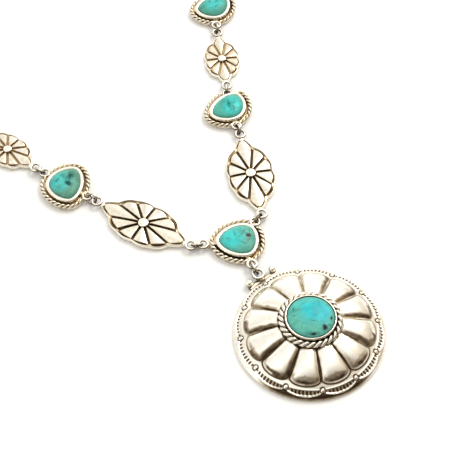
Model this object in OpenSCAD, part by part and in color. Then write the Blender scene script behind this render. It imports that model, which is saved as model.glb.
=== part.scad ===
// Statement necklace lying on a table: a round petalled concho pendant, a centre
// turquoise station, two strands of petalled conchos and turquoise stations,
// and a plain oval-link chain closed by an S-hook at the back of the neck.
// Millimetres. The origin is the back of the centre station; +Y runs from the
// pendant to the clasp, +Z up from the table.

/* [Turquoise stations] */
// Thickness of a station's backplate
plate_t = 1.0; // [0.8:0.1:1.2]
// Height of the bezel's rim above the table
bezel_h = 3.0; // [2.8:0.1:3.4]
// Width of the bezel's rim outside the stone
bezel_w = 1.15; // [0.9:0.05:1.2]
// Height of the stone's dome above the table
stone_h = 4.3; // [4.0:0.1:4.8]
// Diameter of the twisted rope wire
rope_d = 1.6; // [1.4:0.1:1.7]
// Distance from the stone's edge to the middle of the rope wire
rope_out = 2.55; // [2.4:0.05:2.6]
// Length of one lobe of the rope wire
rope_lobe = 1.85; // [1.6:0.05:2.4]

/* [Petalled conchos] */
// Thickness of the scalloped base
concho_base_t = 1.3; // [1.1:0.1:1.4]
// Height of the raised rim along the scallops
concho_rim_h = 1.8; // [1.6:0.1:1.9]
// Width of that rim
concho_rim_w = 0.55; // [0.45:0.05:0.65]
// Height of the petals
petal_h = 2.1; // [1.9:0.1:2.3]
// Width of the grooves between petals
groove_w = 0.75; // [0.6:0.05:0.9]
// Radius of the pillow form across a petal
petal_round = 5.5; // [4.5:0.5:8]
// Diameter of the dot at the middle of a concho
dot_d = 3.7; // [3.2:0.1:4]

/* [Pendant] */
// Diameter of the pendant over its rim
pendant_d = 50; // [48.8:0.2:51.2]
// Height of the dome's crown above the table
dome_h = 8.6; // [8.2:0.1:9]
// Radius of the dome's outer surface
dome_r = 47; // [45:1:49]
// Thickness of the metal
shell_t = 0.8; // [0.7:0.1:1]
// How far a petal stands above the dome
petal_rise = 1.6; // [1.2:0.1:1.8]
// Number of petals round the pendant
pendant_petals = 12; // [10:1:12]
// Diameter of the pendant's stone
cab_d = 15.4; // [15:0.1:15.6]
// Height of the pendant's bezel above the table
cab_bezel_h = 10.8; // [10.4:0.1:11]
// Diameter of the rope wire round the pendant's bezel
cab_rope_d = 2.2; // [2:0.1:2.3]
// Number of lobes of that rope
cab_rope_lobes = 28; // [24:1:32]
// Diameter of the balls beside the bail
ball_d = 2.6; // [2.2:0.1:2.8]

/* [Rings and chain] */
// Wire of the flat rings, station loops and jump rings
ring_wire = 0.9; // [0.85:0.01:0.92]
// Radius of the wire's centre line in a flat ring or jump ring
ring_r = 1.65; // [1.6:0.01:1.7]
// Number of links in the chain on each side
chain_links = 24; // [22:1:26]
// Width of a chain link
link_w = 6.0; // [5.6:0.1:6.4]
// Wire of a chain link
link_wire = 1.3; // [1.2:0.05:1.4]
// Radius of the curve that the chain lies in
chain_curve_r = 64; // [62:1:66]

/* [Hidden] */
$fn = 48;
gap = 0.08;           // play between a stone and its bezel
floor_gap = 0.05;     // lowest point of a jump ring above the table
loop_z = 1.9;         // height of the flat rings' wire above the table
wire_apart = 0.53;    // each linked wire's distance from a jump ring's middle
rim_reach = 1.95;     // from a concho's tip to its flat ring's middle
loop_r = 1.55;        // centre-line radius of a station's own loop
tab_w = 1.5;          // width of the tab that carries a station's loop
foot_z = 0.4;         // underside of the tabs and posts that carry loops
solder = 0.1;         // how far they rise over the middle of the loop's wire
stone_floor = plate_t + gap;
steps = 48;           // points round a station's outline
ring_pitch = ring_r + 2 * wire_apart + loop_r;
ring_room = 0.15;     // room that a station's metal leaves round a jump ring
rope_sink = 0.2;      // how deep the rope wire is set into the backplate

// Columns of a station row
X = 0; Y = 1; MEAN = 2; OVAL = 3; OVAL_DIR = 4; CORNER = 5; CORNER_DIR = 6; ROPE_OPEN = 7;
// Place, mean stone radius, share and direction of the oval part and of the
// three-cornered part, and the half angle where the rope is open at the outer loop
centre_row      = [  0.6,  -0.2, 6.12, 0.04, -25, 0.084, 29,  0];
left_near_row   = [-36.9,  53.4, 6.16, 0.09,  52, 0.080, 22,  0];
right_near_row  = [ 30.7,  51.6, 5.75, 0.13,  15, 0.067, 43, 26];
left_far_row    = [-55.3, 105.1, 5.75, 0.09,  60, 0.075, 20,  0];
right_far_row   = [ 54.7,  98.4, 5.75, 0.11,  10, 0.075, 30,  0];

// Columns of a concho row
HEAD = 2; LONG = 3; WIDE = 4;
// Place of the middle, heading away from the pendant, length and width
left_large_row  = [-22.7,  24.2, 117.0, 34.2, 16.6];
right_large_row = [ 20.6,  21.9,  68.0, 32.8, 16.4];
left_small_row  = [-46.6,  79.2, 109.0, 23.6, 12.6];
right_small_row = [ 42.4,  73.7,  64.2, 23.6, 12.6];

// A quarter of a concho as shares of its half length and half width:
// where each groove ends, the scallop's valley beyond it, and the height of the
// petal's and the scallop's arc over its chord on the way to the next row
GX = 0; GY = 1; VX = 2; VY = 3; PETAL_ARC = 4; SCALLOP_ARC = 5;
quarter = [
    [0.66, 0.35, 0.715, 0.44, 0.60, 0.75],
    [0.37, 0.76, 0.400, 0.90, 0.60, 0.60],
    [0.00, 0.91, 0.000, 0.985, 0.60, 0.60]
];
petal_tip = 0.925;    // end of a tip petal as a share of the half length
lobe_steps = 7;
dot_sink = 1.6;       // how deep the dot's ball lies under the petals' height
tip_r = 1.0;          // post at a tip that carries the flat ring

// Pendant
pendant_at = [0, -42.7];
pendant_petal_in = 9.8;
pendant_petal_bend = 19.2;
pendant_petal_out = 21.4;
pendant_petal_half = 14;
pendant_petal_first = 20;
petal_turn = 360 / pendant_petals;
petal_ball_r = 18;    // radius of the ball surface on top of a pendant petal
stamp_r = 0.8;
stamp_at = 22.75;
stamp_depth = 0.25;
cab_rope_at = 9.45;
cab_rope_z = 9.0;
cab_bezel_w = 0.75;
cab_crown = 1.25;
cab_floor = 8.9;
bail_dir = 93.4;
bail_at = 27.4;
bail_r = 1.8;
bail_wire = 1.1;
bail_z = 2.4;
bail_foot_w = 1.8;
ball_at = 26.7;
ball_dir = 92.8;
ball_spread = 10.4;
ball_z = 2.1;
strip_half = 12.5;
strip_in = 24.6;
strip_out = 26.2;
strip_h = 1.5;
pendant_ring_r = 2.05;
pendant_ring_wire = 0.9;
pendant_ring_lean = -18;
pendant_wire_apart = 0.7;

// End rings and clasp
end_ring_r = 2.15;
end_wire_apart = 0.75;
lean_left = 32;
lean_right = 10;
hook_r = 2.9;
hook_wire = 1.5;
hook_turn = 300;
link_tilt = 45;
link_play = 0.3;

// Small vector helpers
function unit(v) = v / norm(v);
function bearing(v) = atan2(v.y, v.x);
function polar(r, a) = [r * cos(a), r * sin(a)];
function xy(row) = [row[X], row[Y]];
function normal_at(path, i) =
    let (n = len(path), t = path[(i + 1) % n] - path[(i + n - 1) % n])
    unit([t.y, -t.x]);
function grown(path, d) = [for (i = [0:len(path) - 1]) path[i] + d * normal_at(path, i)];

// Outline of a station's stone round its own middle: how far it reaches in each
// direction, how that changes with the direction, and the point where it faces that way
function stone_reach(row, a) = row[MEAN] * (1 + row[OVAL] * cos(2 * (a - row[OVAL_DIR]))
    + row[CORNER] * cos(3 * (a - row[CORNER_DIR])));
function reach_change(row, a) = -row[MEAN] * (2 * row[OVAL] * sin(2 * (a - row[OVAL_DIR]))
    + 3 * row[CORNER] * sin(3 * (a - row[CORNER_DIR])));
function stone_point(row, a, out) = polar(stone_reach(row, a) + out, a) + polar(reach_change(row, a), a + 90);
function stone_outline(row, n, out) = [for (i = [0:n - 1]) stone_point(row, 360 * i / n, out)];

// Where the flat rings at a concho's two ends lie
function tip_ring(row, way) = xy(row) + way * polar(row[LONG] / 2 + rim_reach, row[HEAD]);

// A connection runs from a flat ring towards a station: the jump ring's middle
// and the middle of the station's own loop
function towards(from, row) = unit(xy(row) - from);
function jump_at(from, row) = from + (ring_r + wire_apart) * towards(from, row);
function loop_at(from, row) = from + ring_pitch * towards(from, row);

// Columns of a join: place of the station's loop; place, direction, lean,
// radius and wire of the jump ring that holds it
LOOP = 0; RING = 1; TURN = 2; LEAN = 3; RADIUS = 4; WIRE = 5;
function join(row, way, station, lean) = let (from = tip_ring(row, way))
    [loop_at(from, station), jump_at(from, station), bearing(towards(from, station)), lean,
     ring_r, ring_wire];

// The bail ring and the pendant's jump ring
bail_middle = pendant_at + polar(bail_at, bail_dir);
pendant_ring_at = bail_middle + (bail_r + pendant_wire_apart) * towards(bail_middle, centre_row);
pendant_join = [pendant_ring_at + (pendant_wire_apart + loop_r) * towards(bail_middle, centre_row),
    pendant_ring_at, bearing(towards(bail_middle, centre_row)), pendant_ring_lean,
    pendant_ring_r, pendant_ring_wire];

// The curve of the chain: a circle through the two far stations
far_mid = (xy(right_far_row) + xy(left_far_row)) / 2;
far_half = (xy(right_far_row) - xy(left_far_row)) / 2;
curve_rise = sqrt(pow(chain_curve_r, 2) - pow(norm(far_half), 2));
curve_at = far_mid + curve_rise * unit([-far_half.y, far_half.x]);
function on_curve(a) = curve_at + polar(chain_curve_r, a);
function step_for(chord) = 2 * asin(chord / (2 * chain_curve_r));
right_start = bearing(xy(right_far_row) - curve_at);
left_start = bearing(xy(left_far_row) - curve_at) + 360;
// The outer loop of a far station stands this far from the station's middle
far_loop_out = 9.4;
end_ring_step = step_for(far_loop_out + loop_r + end_wire_apart);
right_ring_a = right_start + end_ring_step;
left_ring_a = left_start - end_ring_step;
hook_a = (right_ring_a + left_ring_a) / 2;
function end_join(loop_a, ring_a) = [on_curve(loop_a), on_curve(ring_a), ring_a + 90, lean_right,
    end_ring_r, ring_wire];
// Distance between the hook's end wire and the wire of the link that it holds
link_seat = (hook_wire + link_wire) / 2 + 0.75;
// Pitch of the links so that they fill the curve between end ring and hook
chain_turn = hook_a - right_ring_a;
chain_arc = chain_turn * PI / 180 * chain_curve_r;
link_pitch = (chain_arc - end_wire_apart - link_wire - link_play + link_seat - 2 * hook_r) / chain_links;
link_bend = (link_w - link_wire) / 2;
link_side = round(50 * (link_pitch + link_wire + link_play - 2 * link_bend)) / 50;
link_reach = link_side / 2 + link_bend;
link_z = link_bend * sin(link_tilt) + link_wire / 2;
first_link_turn = step_for(end_wire_apart + link_reach);
last_link_turn = chain_turn - step_for(2 * hook_r + link_reach - link_seat);
link_turn = (last_link_turn - first_link_turn) / (chain_links - 1);

// Basic wire forms
module torus(r, wire) {
    rotate_extrude() translate([r, 0]) circle(d = wire);
}

module arc_wire(r, wire, turn) {
    rotate_extrude(angle = turn) translate([r, 0]) circle(d = wire);
}

// A dome's surface: a ball whose poles lie to the sides, clear of the crown
module dome_ball(r) {
    rotate([90, 0, 0]) sphere(r = r, $fn = 144);
}

module flat_ring(at, r, wire, z) {
    translate([at.x, at.y, z]) torus(r, wire);
}

// The jump ring of a join: upright along its direction, leaning by its angle
module leaning_ring(join, room = 0) {
    height = join[RADIUS] * cos(join[LEAN]) + join[WIRE] / 2 + floor_gap;
    translate([join[RING].x, join[RING].y, height]) rotate([0, 0, join[TURN]])
        rotate([90 + join[LEAN], 0, 0]) torus(join[RADIUS], join[WIRE] + 2 * room);
}

// A twisted square wire swept along a flat path, one quarter turn a lobe, closed
// round the path or open between two ends
module rope(path, z, wire, closed) {
    n = len(path);
    last = closed ? n - 1 : n - 2;
    points = [for (i = [0:n - 1]) for (k = [0:3])
        let (side = normal_at(path, i), turn = 45 * i + 90 * k, r = wire / 2)
        [path[i].x + side.x * r * cos(turn), path[i].y + side.y * r * cos(turn), z + r * sin(turn)]];
    shift = closed ? n / 2 : 0;
    function corner(i, k) = i < n ? 4 * i + k % 4 : (k + shift) % 4;
    skin = [for (i = [0:last]) for (k = [0:3])
        each [[corner(i, k), corner(i + 1, k + 1), corner(i + 1, k)],
              [corner(i, k), corner(i, k + 1), corner(i + 1, k + 1)]]];
    ends = closed ? [] : [[3, 2, 1, 0], [4 * n - 4, 4 * n - 3, 4 * n - 2, 4 * n - 1]];
    polyhedron(points, concat(skin, ends));
}

// Points at equal steps of length along an outline, from one bearing to another
function run_lengths(path) = [for (i = 0, s = 0; i < len(path);
    s = s + norm(path[(i + 1) % len(path)] - path[i]), i = i + 1) s];
function spaced(path, n, closed) =
    let (lengths = run_lengths(path), m = len(path),
         total = closed ? lengths[m - 1] + norm(path[0] - path[m - 1]) : lengths[m - 1],
         keys_x = concat([for (i = [0:m - 1]) [lengths[i], path[i].x]], [[total + 0.001, path[0].x]]),
         keys_y = concat([for (i = [0:m - 1]) [lengths[i], path[i].y]], [[total + 0.001, path[0].y]]),
         parts = closed ? n : n - 1)
    [for (i = [0:n - 1]) [lookup(total * i / parts, keys_x), lookup(total * i / parts, keys_y)]];
function path_length(path) = run_lengths(path)[len(path) - 1];

module station_rope(row, open_dir) {
    half = row[ROPE_OPEN];
    parts = half > 0 ? 119 : 120;
    fine = [for (i = [0:119]) stone_point(row, open_dir + half + (360 - 2 * half) * i / parts, rope_out)];
    lobes = round(path_length(fine) / rope_lobe);
    z = plate_t + rope_d / 2 - rope_sink;
    rope(spaced(fine, 2 * lobes + (half > 0 ? 1 : 0), half == 0), z, rope_d, half == 0);
}

// A station's metal: backplate, bezel, rope and loops, soldered to one piece
module setting(row, joins) {
    color("silver") difference() {
        union() {
            difference() {
                translate([row[X], row[Y], 0]) {
                    linear_extrude(plate_t) polygon(stone_outline(row, steps, rope_out + 0.25 * rope_d));
                    linear_extrude(bezel_h) polygon(stone_outline(row, steps, bezel_w));
                    station_rope(row, bearing(joins[1][RING] - xy(row)));
                }
                for (join = joins) leaning_ring(join, ring_room);
            }
            for (join = joins) {
                flat_ring(join[LOOP], loop_r, ring_wire, loop_z);
                station_tab(row, join[LOOP]);
            }
        }
        translate([row[X], row[Y], plate_t]) linear_extrude(bezel_h) polygon(stone_outline(row, steps, gap));
    }
}

// The tab that runs from under the bezel to the inner side of a loop
module station_tab(row, at) {
    run = at - xy(row);
    inner = 0.85 * stone_reach(row, bearing(run));
    outer = norm(run) - loop_r + 0.1;
    translate([row[X], row[Y], 0]) rotate([0, 0, bearing(run)])
        translate([inner, -tab_w / 2, foot_z]) cube([outer - inner, tab_w, loop_z + solder - foot_z]);
}

// A station's domed stone: rings of the outline drawn in towards the crown
STONE_RINGS = [[0, 1], [0.36, 1], [0.56, 0.95], [0.76, 0.84], [0.91, 0.62], [0.98, 0.33]];
module stone(row) {
    n = steps;
    edge = stone_outline(row, n, 0);
    rise = stone_h - stone_floor;
    rings = len(STONE_RINGS);
    sides = [for (ring = STONE_RINGS) for (p = edge)
        [p.x * ring[1], p.y * ring[1], stone_floor + rise * ring[0]]];
    points = concat(sides, [[0, 0, stone_h], [0, 0, stone_floor]]);
    skin = [for (j = [0:rings - 2]) for (i = [0:n - 1])
        each [[j * n + i, (j + 1) * n + i, (j + 1) * n + (i + 1) % n],
              [j * n + i, (j + 1) * n + (i + 1) % n, j * n + (i + 1) % n]]];
    crown = [for (i = [0:n - 1]) [(rings - 1) * n + i, rings * n, (rings - 1) * n + (i + 1) % n]];
    base = [for (i = [0:n - 1]) [(i + 1) % n, rings * n + 1, i]];
    color("turquoise") translate([row[X], row[Y], 0]) polyhedron(points, concat(skin, crown, base));
}

// Points of an arc of sine form over the chord from p towards q, without q
function lobe(p, q, height) = let (out = unit([q.y - p.y, p.x - q.x]))
    [for (i = [0:lobe_steps - 1]) let (t = i / lobe_steps) p + t * (q - p) + height * sin(180 * t) * out];

// Groove ends or valleys round the concho, counter-clockwise from the first quarter
function ring_of(half, cx, cy) = let (q = [for (r = quarter) [r[cx] * half.x, r[cy] * half.y]])
    [q[0], q[1], q[2], [-q[1].x, q[1].y], [-q[0].x, q[0].y],
     [-q[0].x, -q[0].y], [-q[1].x, -q[1].y], [0, -q[2].y], [q[1].x, -q[1].y], [q[0].x, -q[0].y]];
// Heights of the arcs that follow each of those ten corners
function arcs_of(column, tip_arc) = let (a = quarter[0][column], b = quarter[1][column])
    [a, b, b, a, tip_arc, a, b, b, a, tip_arc];

// A petalled concho with its grooves, rim and dot, and a flat ring at each end
module concho(row) {
    half = [row[LONG] / 2, row[WIDE] / 2];
    dot = dot_d * sqrt(row[LONG] / left_large_row[LONG]);
    ends = ring_of(half, GX, GY);
    valleys = ring_of(half, VX, VY);
    tip_scallop = half.x * (1 - quarter[0][VX]);
    tip_petal = half.x * (petal_tip - quarter[0][GX]);
    scallop_arcs = arcs_of(SCALLOP_ARC, tip_scallop);
    petal_arcs = arcs_of(PETAL_ARC, tip_petal);
    outline = [for (i = [0:9]) each lobe(valleys[i], valleys[(i + 1) % 10], scallop_arcs[i])];
    color("silver") union() {
        translate([row[X], row[Y], 0]) rotate([0, 0, row[HEAD]]) {
            linear_extrude(concho_base_t) polygon(outline);
            linear_extrude(concho_rim_h) difference() {
                polygon(outline);
                polygon(grown(outline, -concho_rim_w));
            }
            difference() {
                for (i = [0:9]) petal(concat([[0, 0]], lobe(ends[i], ends[(i + 1) % 10], petal_arcs[i]),
                    [ends[(i + 1) % 10]]), bearing(unit(ends[i]) + unit(ends[(i + 1) % 10])));
                for (end = ends) rotate([0, 0, bearing(end)])
                    translate([0, -groove_w / 2, concho_base_t]) cube([norm(end) + 1, groove_w, petal_h]);
            }
            cylinder(d = dot, h = petal_h);
            intersection() {
                translate([0, 0, petal_h - dot_sink]) dome_ball(dot / 2 + 0.3);
                cylinder(d = dot, h = petal_h + 2);
            }
            for (way = [-1, 1]) translate([way * (half.x - 0.4), 0, foot_z])
                cylinder(r = tip_r, h = loop_z + solder - foot_z);
        }
        for (way = [-1, 1]) flat_ring(tip_ring(row, way), ring_r, ring_wire, loop_z);
    }
}

module petal(outline, axis) {
    intersection() {
        translate([0, 0, concho_base_t / 2]) linear_extrude(petal_h) polygon(outline);
        rotate([0, 0, axis]) translate([-5, 0, petal_h - petal_round]) rotate([0, 90, 0])
            cylinder(r = petal_round, h = 40);
    }
}

// The pendant's metal: domed shell, petals, bezel, rope, bail ring and balls
function dome_z(r) = dome_h - dome_r + sqrt(pow(dome_r, 2) - pow(r, 2));
pendant_petal_outline =
    let (bend = pendant_petal_bend, wide = bend * tan(pendant_petal_half), inner = pendant_petal_in,
         end = [for (a = [-90:15:90]) [bend + (pendant_petal_out - bend) * cos(a), wide * sin(a)]])
    concat([[inner, -inner * tan(pendant_petal_half)]], end, [[inner, inner * tan(pendant_petal_half)]]);

module pendant_petal() {
    mid = (pendant_petal_in + pendant_petal_out) / 2;
    slope = asin(mid / dome_r);
    intersection() {
        linear_extrude(dome_h + 3) polygon(pendant_petal_outline);
        translate([mid, 0, dome_z(mid)] + (petal_rise - petal_ball_r) * [sin(slope), 0, cos(slope)])
            dome_ball(petal_ball_r);
    }
}

module pendant_body() {
    color("silver") translate([pendant_at.x, pendant_at.y, 0]) {
        difference() {
            union() {
                intersection() {
                    cylinder(d = pendant_d, h = dome_h, $fn = 144);
                    translate([0, 0, dome_h - dome_r]) dome_ball(dome_r);
                }
                for (i = [0:pendant_petals - 1]) rotate([0, 0, pendant_petal_first + petal_turn * i])
                    pendant_petal();
                translate([0, 0, dome_h - 2])
                    cylinder(d = cab_d + 2 * cab_bezel_w, h = cab_bezel_h - dome_h + 2);
                rope(spaced([for (a = [0:5:355]) polar(cab_rope_at, a)], 2 * cab_rope_lobes, true),
                    cab_rope_z, cab_rope_d, true);
            }
            intersection() {
                translate([0, 0, -1]) cylinder(d = pendant_d - 2 * shell_t, h = dome_h, $fn = 144);
                translate([0, 0, dome_h - dome_r - shell_t]) dome_ball(dome_r);
            }
            translate([0, 0, cab_floor]) cylinder(d = cab_d + 2 * gap, h = 5);
            for (i = [0:pendant_petals - 1])
                rotate([0, 0, pendant_petal_first + petal_turn * (i + 0.5)])
                    translate([stamp_at, 0, dome_z(stamp_at) - stamp_depth]) cylinder(r = stamp_r, h = 2);
        }
        bail();
    }
}

module bail() {
    flat_ring(polar(bail_at, bail_dir), bail_r, bail_wire, bail_z);
    rotate([0, 0, ball_dir - strip_half]) rotate_extrude(angle = 2 * strip_half)
        translate([strip_in, 0]) square([strip_out - strip_in, strip_h]);
    rotate([0, 0, bail_dir]) translate([strip_in, -bail_foot_w / 2, foot_z])
        cube([bail_at - bail_r + 0.3 - strip_in, bail_foot_w, bail_z + solder - foot_z]);
    for (way = [-1, 1]) translate(concat(polar(ball_at, ball_dir + way * ball_spread), ball_z))
        sphere(d = ball_d);
}

module pendant_stone() {
    crown_r = (pow(cab_d / 2, 2) + pow(cab_crown, 2)) / (2 * cab_crown);
    color("turquoise") translate([pendant_at.x, pendant_at.y, 0]) intersection() {
        translate([0, 0, cab_floor + gap]) cylinder(d = cab_d, h = 5);
        translate([0, 0, cab_bezel_h + cab_crown - crown_r]) dome_ball(crown_r);
    }
}

module jump_ring(join) {
    color("silver") leaning_ring(join);
}

// One oval link lying along X, its long middle at the origin
module link() {
    for (way = [1, -1]) translate([way * link_side / 2, 0, 0]) rotate([0, 0, -90 * way])
        arc_wire(link_bend, link_wire, 180);
    for (way = [1, -1]) translate([-link_side / 2, way * link_bend, 0]) rotate([0, 90, 0])
        cylinder(d = link_wire, h = link_side);
}

// The chain on one side, from the end ring to the hook
module chain(from, way) {
    color("silver") for (i = [0:chain_links - 1]) {
        a = from + way * (first_link_turn + i * link_turn);
        at = on_curve(a);
        translate([at.x, at.y, link_z]) rotate([0, 0, a + 90])
            rotate([(i % 2 == 0 ? 1 : -1) * link_tilt, 0, 0]) link();
    }
}

// The plain S-hook that closes the necklace
module clasp_hook() {
    at = on_curve(hook_a);
    color("silver") translate([at.x, at.y, link_z]) rotate([0, 0, hook_a + 90])
        for (way = [0, 180]) rotate([0, 0, way]) translate([hook_r, 0, 0])
            rotate([0, 0, 180]) arc_wire(hook_r, hook_wire, hook_turn);
}

left_joins = [
    join(left_large_row, -1, centre_row, lean_left),
    join(left_large_row, 1, left_near_row, lean_left),
    join(left_small_row, -1, left_near_row, lean_left),
    join(left_small_row, 1, left_far_row, lean_left)
];
right_joins = [
    join(right_large_row, -1, centre_row, lean_right),
    join(right_large_row, 1, right_near_row, lean_right),
    join(right_small_row, -1, right_near_row, lean_right),
    join(right_small_row, 1, right_far_row, lean_right)
];
left_end_join = end_join(left_start - step_for(far_loop_out), left_ring_a);
right_end_join = end_join(right_start + step_for(far_loop_out), right_ring_a);

pendant_body();
pendant_stone();
jump_ring(pendant_join);  // pendant_ring
setting(centre_row, [left_joins[0], right_joins[0], pendant_join]);  // centre_setting
stone(centre_row);  // centre_stone
concho(left_large_row);  // left_large_concho
concho(right_large_row);  // right_large_concho
setting(left_near_row, [left_joins[1], left_joins[2]]);  // left_near_setting
stone(left_near_row);  // left_near_stone
setting(right_near_row, [right_joins[1], right_joins[2]]);  // right_near_setting
stone(right_near_row);  // right_near_stone
concho(left_small_row);  // left_small_concho
concho(right_small_row);  // right_small_concho
setting(left_far_row, [left_joins[3], left_end_join]);  // left_far_setting
stone(left_far_row);  // left_far_stone
setting(right_far_row, [right_joins[3], right_end_join]);  // right_far_setting
stone(right_far_row);  // right_far_stone
jump_ring(left_joins[0]);  // left_ring_1
jump_ring(left_joins[1]);  // left_ring_2
jump_ring(left_joins[2]);  // left_ring_3
jump_ring(left_joins[3]);  // left_ring_4
jump_ring(left_end_join);  // left_end_ring
jump_ring(right_joins[0]);  // right_ring_1
jump_ring(right_joins[1]);  // right_ring_2
jump_ring(right_joins[2]);  // right_ring_3
jump_ring(right_joins[3]);  // right_ring_4
jump_ring(right_end_join);  // right_end_ring
chain(left_ring_a, -1);  // chain_left
chain(right_ring_a, 1);  // chain_right
clasp_hook();
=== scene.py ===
from math import radians

import bmesh
import bpy
import numpy as np
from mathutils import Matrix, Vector


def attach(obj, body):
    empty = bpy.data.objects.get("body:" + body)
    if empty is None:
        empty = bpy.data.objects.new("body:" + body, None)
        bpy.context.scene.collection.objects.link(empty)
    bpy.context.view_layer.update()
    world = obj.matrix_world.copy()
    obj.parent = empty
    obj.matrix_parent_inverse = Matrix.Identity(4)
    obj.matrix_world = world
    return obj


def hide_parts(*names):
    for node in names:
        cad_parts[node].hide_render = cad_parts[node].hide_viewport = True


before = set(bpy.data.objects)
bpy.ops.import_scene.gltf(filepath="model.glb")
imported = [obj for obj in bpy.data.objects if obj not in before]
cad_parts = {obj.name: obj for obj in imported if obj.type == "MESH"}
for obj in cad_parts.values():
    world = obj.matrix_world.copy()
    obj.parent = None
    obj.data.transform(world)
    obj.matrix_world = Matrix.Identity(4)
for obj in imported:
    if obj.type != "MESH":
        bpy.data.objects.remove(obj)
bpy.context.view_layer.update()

# Lengths are millimetres and angles degrees in every table and shape function.
# A finished mesh is in metres.
MM = 0.001

# Camera: where it looks, and how far, how high and from which side it stands
LOOK_AT = (1.14, 9.05, 0.0)
CAMERA_DISTANCE = 442.2
CAMERA_SIDE = -33.4
CAMERA_HEIGHT = 54.35
LENS = 101.84

# Stations, as in the part: place, mean stone radius, share and direction of the
# oval and of the three-cornered part, half angle where the rope is open
PLATE_T, STONE_H = 1.0, 4.3
ROPE_D, ROPE_OUT, ROPE_LOBE, ROPE_SINK = 1.6, 2.55, 1.85, 0.2
STONE_GAP = 0.08
STATIONS = {
    "centre": (0.6, -0.2, 6.12, 0.04, -25, 0.084, 29, 0),
    "left_near": (-36.9, 53.4, 6.16, 0.09, 52, 0.080, 22, 0),
    "right_near": (30.7, 51.6, 5.75, 0.13, 15, 0.067, 43, 26),
    "left_far": (-55.3, 105.1, 5.75, 0.09, 60, 0.075, 20, 0),
    "right_far": (54.7, 98.4, 5.75, 0.11, 10, 0.075, 30, 0),
}

# Conchos, as in the part: place, heading, length, width
CONCHO_BASE = 1.3       # height of the floor under the petals
PETAL_H, GROOVE_W, PETAL_ROUND, DOT_D = 2.1, 0.75, 5.5, 3.7
CONCHOS = {
    "left_large": (-22.7, 24.2, 117.0, 34.2, 16.6),
    "right_large": (20.6, 21.9, 68.0, 32.8, 16.4),
    "left_small": (-46.6, 79.2, 109.0, 23.6, 12.6),
    "right_small": (42.4, 73.7, 64.2, 23.6, 12.6),
}
# A quarter of a concho, as shares of its half length and half width: groove end and valley,
# then the heights of the petal's and the scallop's arcs from there to the next one
QUARTER = [
    (0.66, 0.35, 0.715, 0.44, 0.60, 0.75),
    (0.37, 0.76, 0.400, 0.90, 0.60, 0.60),
    (0.00, 0.91, 0.000, 0.985),
]
PETAL_TIP = 0.925

# Rings and loops, as in the part
RING_WIRE, RING_R, LOOP_R, LOOP_Z, WIRE_APART, RIM_REACH = 0.9, 1.65, 1.55, 1.9, 0.53, 1.95
RING_PITCH = RING_R + 2 * WIRE_APART + LOOP_R
TAB_W, FOOT_Z = 1.5, 0.4
# The post under each tip ring: radius, how far in from the tip, and its dome's foot and rise
TIP_POST_R, TIP_POST_IN, TIP_POST_DOWN, TIP_POST_RISE = 1.0, 0.4, 0.35, 0.45
# A tab's start from the stone's edge, and its end past and over the middle line of the loop's wire
TAB_START, TAB_PAST, TAB_OVER, BAIL_FOOT_PAST = 0.6, 0.1, 0.1, 0.3

# Pendant, as in the part
PENDANT_AT = np.array([0.0, -42.7])
PENDANT_R, DOME_H, DOME_R, SHELL_T = 25.0, 8.6, 47.0, 0.8
PETALS, PETAL_FIRST, PETAL_RISE, PETAL_BALL_R = 12, 20, 1.6, 18.0
PETAL_IN, PETAL_BEND, PETAL_OUT, PETAL_HALF = 9.8, 19.2, 21.4, 14.0
CAB_D, CAB_BEZEL_H, CAB_BEZEL_W, CAB_CROWN, CAB_FLOOR = 15.4, 10.8, 0.75, 1.25, 8.9
CAB_ROPE_AT, CAB_ROPE_Z, CAB_ROPE_D, CAB_ROPE_LOBES = 9.45, 9.0, 2.2, 28
STAMP_AT = 22.75
BAIL_DIR, BAIL_AT, BAIL_R, BAIL_WIRE, BAIL_Z, BAIL_FOOT_W = 93.4, 27.4, 1.8, 1.1, 2.4, 1.8
BALL_AT, BALL_DIR, BALL_SPREAD, BALL_Z, BALL_D = 26.7, 92.8, 10.4, 2.1, 2.6
STRIP_HALF, STRIP_IN, STRIP_OUT, STRIP_H = 12.5, 24.6, 26.2, 1.5
PENDANT_WIRE_APART = 0.7

# Direction from the middle of a station and of the pendant in which the oxide and its painted shade are
# whole
STATION_SHADE_DIR, PENDANT_SHADE_DIR = -100, -154
# Direction in which a station's channel and rope are painted lighter again, and by what share
LIGHT_DIR, CHANNEL_LIGHT, ROPE_LIGHT = -84, 0.55, 0.5
# Tarnish in each station's channel beside the rope, and film on the rope
STATION_OXIDE = {"centre": (0.80, 0.16), "left_near": (0.60, 0.19), "right_near": (0.58, 0.20),
                 "left_far": (0.70, 0.18), "right_far": (0.70, 0.18)}
# Tarnish in each concho's grooves, and film all over it
CONCHO_OXIDE = {"left_large": (0.85, 0.13), "right_large": (0.79, 0.12),
                "left_small": (0.47, 0.12), "right_small": (0.47, 0.18)}

TAU = 2 * np.pi


def polar(r, a):
    return np.array([r * np.cos(np.radians(a)), r * np.sin(np.radians(a))])


def heading_of(v):
    return np.degrees(np.arctan2(v[1], v[0]))


def circle(steps):
    """Level unit vectors all the way round."""
    turn = np.arange(steps) * TAU / steps
    return np.stack([np.cos(turn), np.sin(turn), np.zeros(steps)], -1)


def unit(v):
    return v / np.linalg.norm(v, axis=-1, keepdims=True)


def smooth(x, low, high):
    """0 below low, 1 above high, and an even rise between them."""
    t = np.clip((x - low) / (high - low), 0, 1)
    return t * t * (3 - 2 * t)


def round_over(x, width):
    """A quarter-round rise from 0 at x = 0 to 1 at x = width."""
    t = np.clip(x / width, 0, 1)
    return np.sqrt(1 - (1 - t) ** 2)


def eased(x, width):
    """A rise from 0 at x = 0 to 1 at x = width, steep at first."""
    return 1 - (1 - np.clip(x / width, 0, 1)) ** 2


def bump_at(x, middle, width):
    return np.exp(-(((x - middle) / width) ** 2))


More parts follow.
